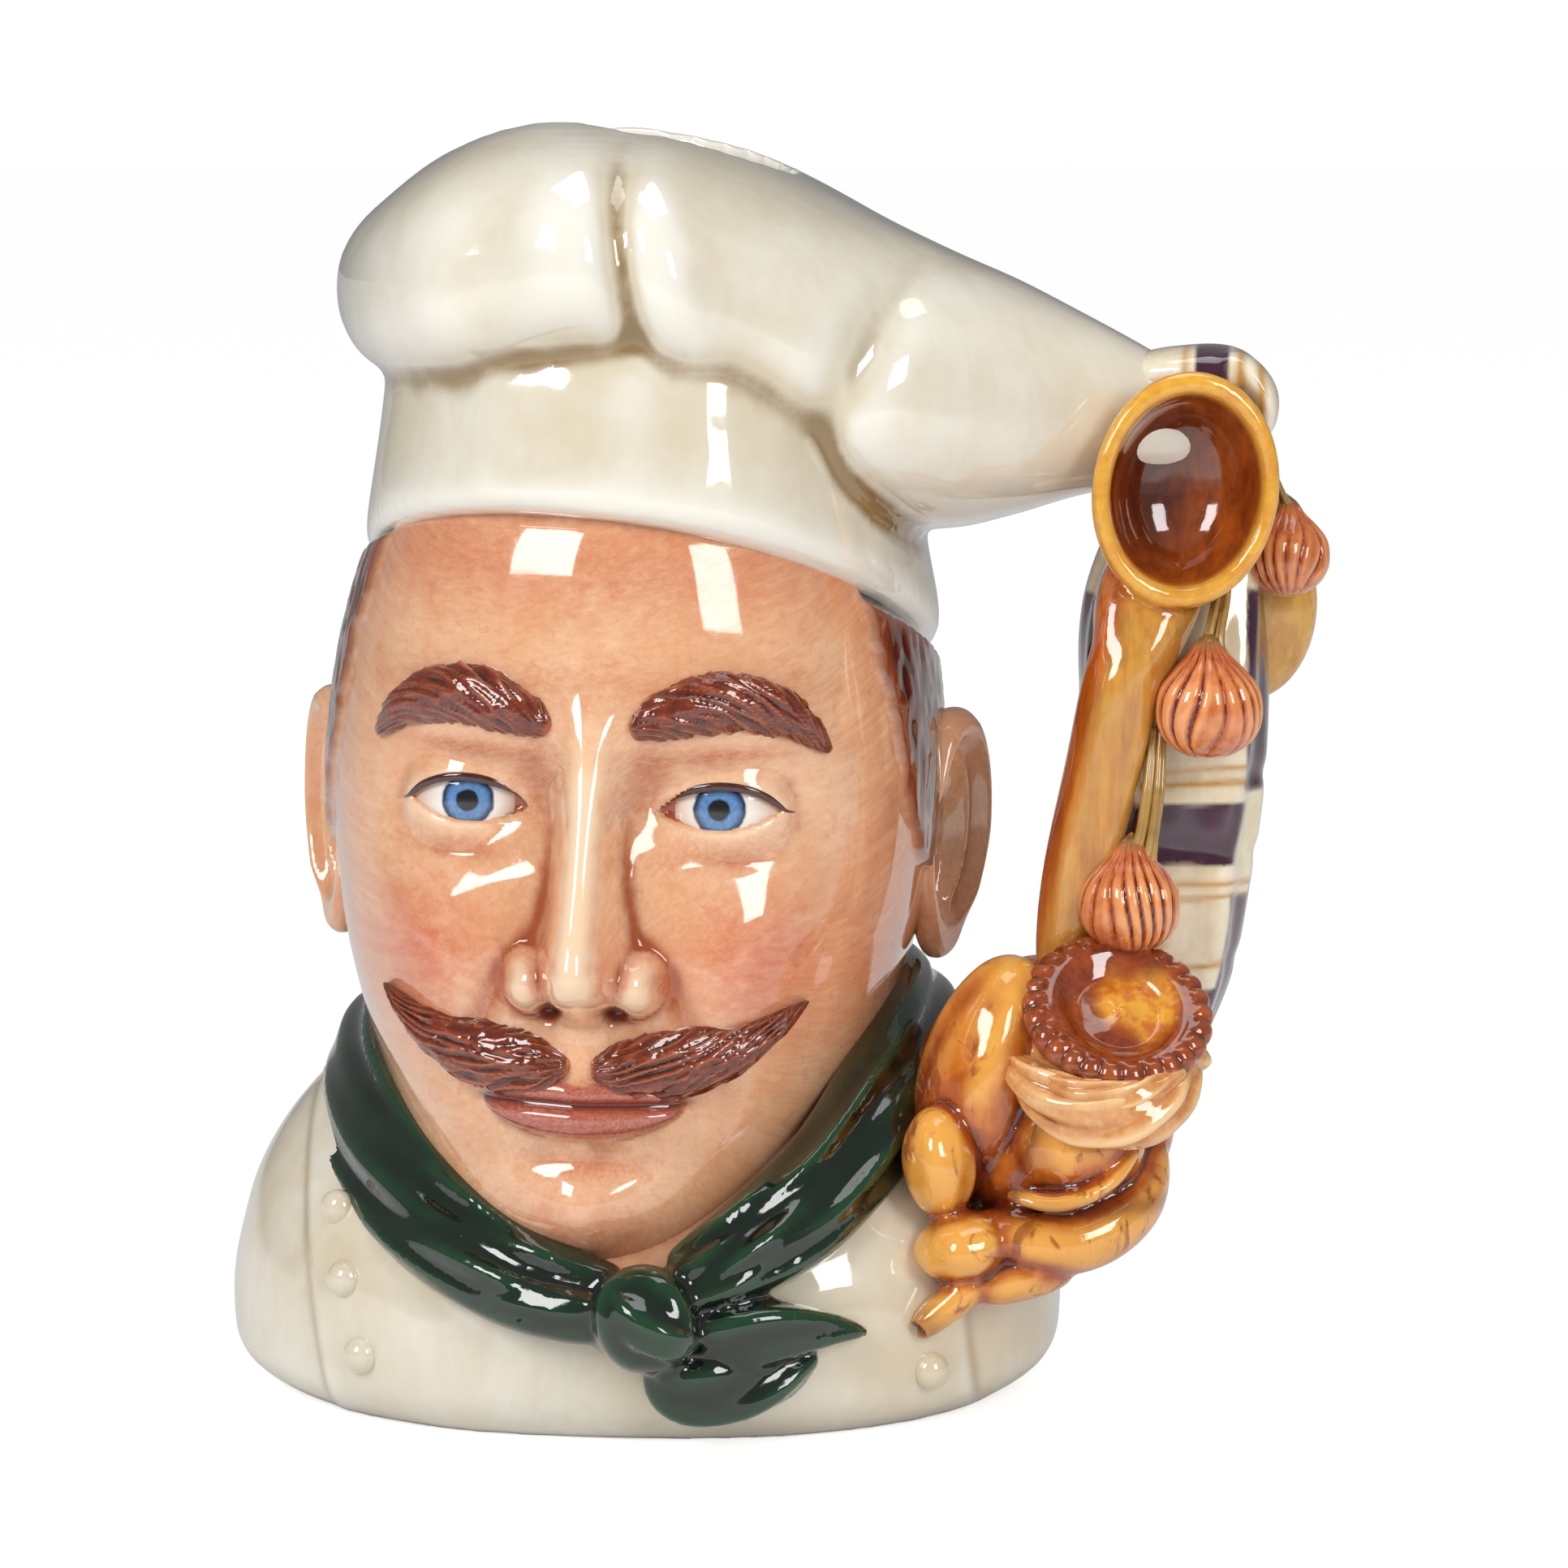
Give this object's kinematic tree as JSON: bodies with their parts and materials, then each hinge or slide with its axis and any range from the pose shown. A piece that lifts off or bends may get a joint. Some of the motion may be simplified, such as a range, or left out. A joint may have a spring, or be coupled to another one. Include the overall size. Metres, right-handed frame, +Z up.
{
  "type": "toby jug",
  "caption": "Character jug: the glazed bust of a moustached cook in a tall soft hat, hollow and open at the top, with a handle made of a ladle, striped cloth, onions, a pie and a roast bird.",
  "frame": {"origin": "middle of the flat underside of the foot", "axes": "+Z up, the face towards -Y, the handle towards +X"},
  "size_m": [0.147, 0.1078, 0.168],
  "materials": {
    "cream_glaze": "cream glaze on earthenware, painted under the glaze"
  },
  "bodies": {
    "root": {"toby_jug": "cream_glaze"}
  },
  "joints": []
}
